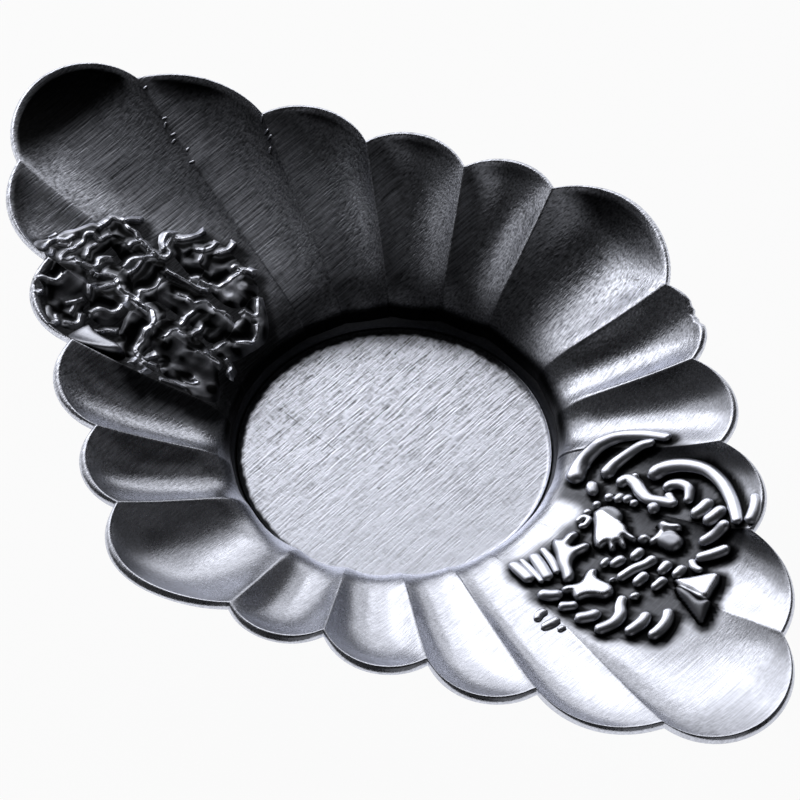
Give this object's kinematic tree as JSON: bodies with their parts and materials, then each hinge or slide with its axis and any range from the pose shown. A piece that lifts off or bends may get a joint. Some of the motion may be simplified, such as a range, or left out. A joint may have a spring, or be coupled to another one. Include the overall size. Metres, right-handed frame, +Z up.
{
  "type": "drink coaster",
  "caption": "Lozenge fluted tin saucer with a scalloped rim, a round sunken well for a tea cup and a relief spray on each long end.",
  "frame": {"origin": "on the table under the middle of the well, at the bottom of the foot", "axes": "+X along the long axis to the tip with the plumes, +Y to a side corner, +Z up"},
  "size_m": [0.1308, 0.082, 0.0154],
  "materials": {
    "aged_tin": "aged tin, satin, finely scratched",
    "dark_tin": "dark patina, satin",
    "brushed_tin": "straight brushed, bright",
    "relief_tin": "black patina in the hollows, worn bright on the crests"
  },
  "bodies": {
    "root": {"fluted_plate": "aged_tin", "well_ring": "dark_tin", "well_floor": "brushed_tin", "plume_a": "relief_tin", "plume_b": "relief_tin", "plume_c": "relief_tin", "plume_d": "relief_tin", "wave_band": "relief_tin", "arch_curl": "relief_tin", "upper_ribs": "relief_tin", "bead_chain": "relief_tin", "head_leaf": "relief_tin", "knob_leaf": "relief_tin", "scale_rows": "relief_tin", "tail_leaf": "relief_tin", "fork_leaf": "relief_tin", "inner_ribs": "relief_tin", "star_leaf": "relief_tin", "lower_ribs": "relief_tin", "low_leaf": "relief_tin", "crest_petal": "relief_tin", "east_petal": "relief_tin", "middle_petal": "relief_tin", "west_petal": "relief_tin", "inner_petal": "relief_tin", "tip_petal": "relief_tin", "heart_petal": "relief_tin", "rim_petal": "relief_tin", "south_petal": "relief_tin", "broad_petal": "relief_tin", "stem_leaf": "relief_tin"}
  },
  "joints": []
}
